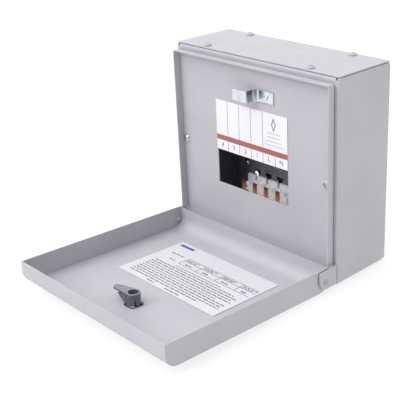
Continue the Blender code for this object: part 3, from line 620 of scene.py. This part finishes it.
def rivet_hole_shades(materials):
    """A black plug inside each hinge rivet: painted shade for its dark hollow."""
    count = HOLE_SHADE_SIDES
    for side, sign in (("left", -1), ("right", 1)):
        low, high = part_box(f"hinge_rivet_{side}")
        face = high.x if sign > 0 else low.x
        middle = (low + high) / 2
        verts = []
        for depth in HOLE_SHADE_DEPTHS:
            for step in range(count):
                angle = math.tau * step / count
                verts.append((face - sign * depth, middle.y + HOLE_SHADE_RADIUS * math.cos(angle),
                              middle.z + HOLE_SHADE_RADIUS * math.sin(angle)))
        faces = [list(range(count)), list(range(2 * count - 1, count - 1, -1))]
        faces += [[i, count + i, count + (i + 1) % count, (i + 1) % count] for i in range(count)]
        mesh = bpy.data.meshes.new(f"hinge_rivet_{side}_core")
        mesh.from_pydata(verts, [], faces)
        add_piece(mesh.name, mesh, materials["hole_shade_black"], "enclosure")


# ---- Studio --------------------------------------------------------------------------------
def light_sky(tree):
    """White sky: brightest above and behind the object, dimmer and faintly mauve before it."""
    background = tree.nodes["Background"]
    coords = tree.nodes.new("ShaderNodeTexCoord")
    toward = tree.nodes.new("ShaderNodeVectorMath")
    toward.operation = "DOT_PRODUCT"
    toward.inputs[1].default_value = SKY_AXIS
    ramp = tree.nodes.new("ShaderNodeMapRange")
    ramp.interpolation_type = "SMOOTHSTEP"
    ramp.inputs["From Min"].default_value = SKY_TURN[0]
    ramp.inputs["From Max"].default_value = SKY_TURN[1]
    ramp.inputs["To Min"].default_value = SKY_FRONT
    ramp.inputs["To Max"].default_value = SKY_BACK
    tree.links.new(coords.outputs["Generated"], toward.inputs[0])
    tree.links.new(toward.outputs["Value"], ramp.inputs["Value"])
    tree.links.new(ramp.outputs["Result"], background.inputs["Strength"])
    shade = tree.nodes.new("ShaderNodeMapRange")
    shade.inputs["From Min"].default_value = SKY_FRONT
    shade.inputs["From Max"].default_value = SKY_BACK
    tree.links.new(ramp.outputs["Result"], shade.inputs["Value"])
    hue = tree.nodes.new("ShaderNodeMix")
    hue.data_type = "RGBA"
    hue.inputs["A"].default_value = SKY_FRONT_HUE
    hue.inputs["B"].default_value = SKY_BACK_HUE
    tree.links.new(shade.outputs["Result"], hue.inputs["Factor"])
    tree.links.new(hue.outputs["Result"], background.inputs["Color"])


def studio():
    """White floor, bright sky, soft overhead light and a fill from the front."""
    level = cad_box[0].z - FLOOR_DROP
    mesh = bpy.data.meshes.new("floor")
    corners = [(-FLOOR_REACH, -FLOOR_REACH, level), (FLOOR_REACH, -FLOOR_REACH, level),
               (FLOOR_REACH, FLOOR_REACH, level), (-FLOOR_REACH, FLOOR_REACH, level)]
    mesh.from_pydata(corners, [], [(0, 1, 2, 3)])
    floor = bpy.data.objects.new("floor", mesh)
    bpy.context.scene.collection.objects.link(floor)
    t = Tree("floor_white")
    colour = t.tint(t.spread(t.noise(3.0), 0.0, 1.0), (0.30, 0.30, 0.30), (0.32, 0.32, 0.32))
    t.shader.inputs["Emission Color"].default_value = (1.0, 1.0, 1.0, 1.0)
    t.shader.inputs["Emission Strength"].default_value = FLOOR_GLOW
    mesh.materials.append(t.finish(colour, 0.8))

    world = bpy.data.worlds.new("studio")
    world.use_nodes = True
    light_sky(world.node_tree)
    bpy.context.scene.world = world

    for name, direction, strength, angle in SUNS:
        light = bpy.data.lights.new(name, "SUN")
        light.energy = strength
        light.angle = math.radians(angle)
        lamp = bpy.data.objects.new(name, light)
        lamp.rotation_mode = "QUATERNION"
        lamp.rotation_quaternion = Vector(direction).to_track_quat("Z", "Y")
        bpy.context.scene.collection.objects.link(lamp)


def camera():
    """The camera at the object's front right, a little above it."""
    data = bpy.data.cameras.new("camera")
    data.lens = CAMERA_LENS
    data.sensor_width = 36.0
    data.shift_x, data.shift_y = CAMERA_SHIFT
    data.clip_start = 0.01
    data.clip_end = 50.0
    item = bpy.data.objects.new("camera", data)
    item.location = CAMERA_PLACE
    item.rotation_euler = [math.radians(angle) for angle in CAMERA_TURN]
    bpy.context.scene.collection.objects.link(item)
    bpy.context.scene.camera = item
    bpy.context.scene.view_settings.view_transform = "Standard"


MATERIALS = make_materials()
dress_nodes(MATERIALS)
print_circuit_label(MATERIALS)
print_door_label(MATERIALS)
rivet_hole_shades(MATERIALS)
studio()
camera()
